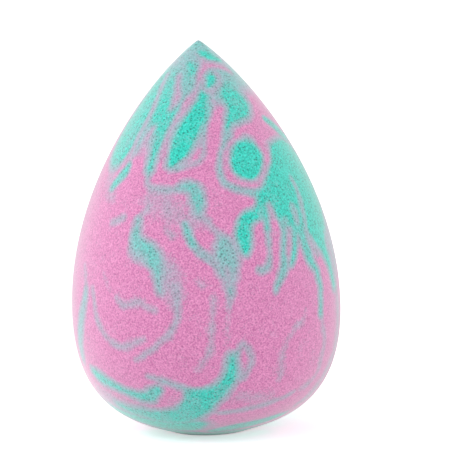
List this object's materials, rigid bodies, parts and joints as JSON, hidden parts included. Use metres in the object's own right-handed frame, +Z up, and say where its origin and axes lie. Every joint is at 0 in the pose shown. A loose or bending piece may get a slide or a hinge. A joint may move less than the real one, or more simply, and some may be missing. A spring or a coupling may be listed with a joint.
{
  "type": "makeup sponge",
  "caption": "Drop-shaped marbled foam sponge for blending make-up: a round soft base that tapers to a fine tip, pink foam with turquoise foam streaks set flush in it.",
  "frame": {"origin": "middle of the small flat foot that the sponge stands on", "axes": "+Z up along the drop's axis to the tip; -Y is the side that the picture shows; +X to its right"},
  "size_m": [0.0412, 0.0412, 0.06],
  "materials": {
    "pink_foam": "matte open-cell foam, orchid pink, fine pores",
    "turquoise_foam": "matte open-cell foam, turquoise, fine pores"
  },
  "bodies": {
    "root": {"back_base_sweep": "turquoise_foam", "back_dagger": "turquoise_foam", "back_hook": "turquoise_foam", "back_lens": "turquoise_foam", "back_patch": "turquoise_foam", "back_spot": "turquoise_foam", "back_strand": "turquoise_foam", "back_streak": "turquoise_foam", "base_arm": "turquoise_foam", "base_sweep": "turquoise_foam", "comma_streak": "turquoise_foam", "corner_streak": "turquoise_foam", "curl_strand": "turquoise_foam", "dagger_streak": "turquoise_foam", "edge_strand": "turquoise_foam", "flank_patch": "turquoise_foam", "foot_crescent": "turquoise_foam", "halo_streak": "turquoise_foam", "hook_streak": "turquoise_foam", "inner_strand": "turquoise_foam", "left_back_comma": "turquoise_foam", "left_back_strand": "turquoise_foam", "left_back_streak": "turquoise_foam", "left_back_swirl": "turquoise_foam", "left_base_arm": "turquoise_foam", "left_dash": "turquoise_foam", "left_streak": "turquoise_foam", "lens_streak": "turquoise_foam", "middle_strand": "turquoise_foam", "pink_foam": "pink_foam", "right_base_sweep": "turquoise_foam", "right_shoulder_streak": "turquoise_foam", "right_swirl": "turquoise_foam", "rim_sliver": "turquoise_foam", "ring_strand": "turquoise_foam", "root_streak": "turquoise_foam", "round_spot": "turquoise_foam", "shoulder_streak": "turquoise_foam", "swirl_streak": "turquoise_foam", "thorn_streak": "turquoise_foam", "tip_droplet": "turquoise_foam", "tip_wedge": "turquoise_foam", "tooth_strand": "turquoise_foam"}
  },
  "joints": []
}
